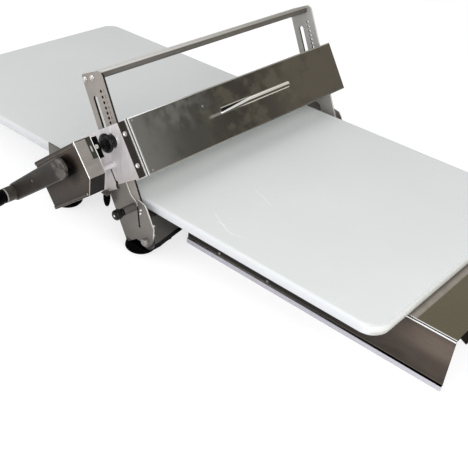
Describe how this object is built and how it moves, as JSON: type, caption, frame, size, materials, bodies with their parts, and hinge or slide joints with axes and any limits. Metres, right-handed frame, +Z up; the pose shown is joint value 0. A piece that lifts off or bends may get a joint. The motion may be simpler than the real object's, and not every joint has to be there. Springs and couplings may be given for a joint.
{
  "type": "manual dough sheeter",
  "caption": "Hand-cranked table-top dough sheeter: a board slides over a low tray under a roller carried in a leaning frame with indexed height.",
  "frame": {"origin": "centre of the board's top face at rest", "axes": "+X the way the board travels, +Y along the roller away from the crank, +Z up"},
  "size_m": [0.992, 0.6537, 0.2522],
  "materials": {
    "board_plastic": "satin",
    "sheet_steel": "satin",
    "plate_steel": "satin",
    "turned_steel": "bright",
    "gear_iron": "oiled",
    "roller_plastic": "smooth",
    "glide_plastic": "smooth",
    "black_plastic": "moulded",
    "black_rubber": "moulded"
  },
  "bodies": {
    "base": {"deck": "sheet_steel", "glide_strips": "glide_plastic", "front_panel": "sheet_steel", "rear_panel": "sheet_steel", "left_base_plate": "plate_steel", "right_base_plate": "plate_steel", "stop_blocks": "plate_steel", "pivot_bolts": "turned_steel", "foot_plates": "plate_steel", "rubber_feet": "black_rubber", "board_guide": "sheet_steel", "front_tray": "sheet_steel", "base_rivets": "turned_steel", "tray_rivets": "turned_steel", "lock_barrel": "turned_steel"},
    "board": {"board": "board_plastic"},
    "frame": {"left_upright": "plate_steel", "right_upright": "plate_steel", "handle_bar": "plate_steel", "handle_screws": "turned_steel"},
    "carriage": {"left_slider": "plate_steel", "right_slider": "plate_steel", "buffer_bracket": "plate_steel", "rubber_buffer": "black_rubber", "left_guide": "glide_plastic", "right_guide": "glide_plastic", "flange_screws": "turned_steel", "guide_studs": "turned_steel", "hood": "sheet_steel", "left_bush": "glide_plastic", "right_bush": "glide_plastic", "gearbox_back": "sheet_steel", "gearbox_cover": "sheet_steel", "gearbox_posts": "turned_steel", "gearbox_block": "black_plastic", "block_screw": "turned_steel", "left_index_barrel": "turned_steel", "right_index_barrel": "turned_steel"},
    "roller": {"roller_body": "roller_plastic", "roller_shaft": "turned_steel", "roller_gear": "gear_iron"},
    "crank": {"crank_pinion": "gear_iron", "crank_shaft": "turned_steel", "crank_arm": "plate_steel", "grip_pin": "turned_steel"},
    "grip": {"grip": "black_plastic"},
    "left_index": {"left_index_knob": "black_plastic"},
    "right_index": {"right_index_knob": "black_plastic"},
    "lock": {"lock_knob": "black_plastic"}
  },
  "joints": [
    {"name": "frame_tilt", "type": "hinge", "parent": "base", "child": "frame", "pos_m": [0.10645, 0, -0.05383], "axis": [0, 1, 0], "range_deg": [0, 25]},
    {"name": "carriage_lift", "type": "slide", "parent": "frame", "child": "carriage", "axis": [-0.4226, 0, 0.9063], "range_m": [-0.005, 0.06485]},
    {"name": "roller_spin", "type": "hinge", "parent": "carriage", "child": "roller", "pos_m": [0.0448, 0, 0.041], "axis": [0, 1, 0], "continuous": true},
    {"name": "crank_spin", "type": "hinge", "parent": "carriage", "child": "crank", "pos_m": [0.03759, 0, 0.06231], "axis": [0, 1, 0], "continuous": true},
    {"name": "grip_spin", "type": "hinge", "parent": "crank", "child": "grip", "pos_m": [-0.0662, 0, -0.01762], "axis": [0, 1, 0], "continuous": true},
    {"name": "board_slide", "type": "slide", "parent": "base", "child": "board", "axis": [1, 0, 0], "range_m": [-0.38, 0.38]},
    {"name": "left_index_pull", "type": "slide", "parent": "carriage", "child": "left_index", "axis": [0, -1, 0], "range_m": [0, 0.006], "stiffness_N_per_m": 400, "springref_m": -0.008},
    {"name": "right_index_pull", "type": "slide", "parent": "carriage", "child": "right_index", "axis": [0, 1, 0], "range_m": [0, 0.006], "stiffness_N_per_m": 400, "springref_m": -0.008},
    {"name": "lock_pull", "type": "slide", "parent": "base", "child": "lock", "axis": [0, -1, 0], "range_m": [0, 0.006], "stiffness_N_per_m": 400, "springref_m": -0.008}
  ],
  "couplings": [
    {"joint": "crank_spin", "follows": "roller_spin", "ratio": -1.5714}
  ]
}
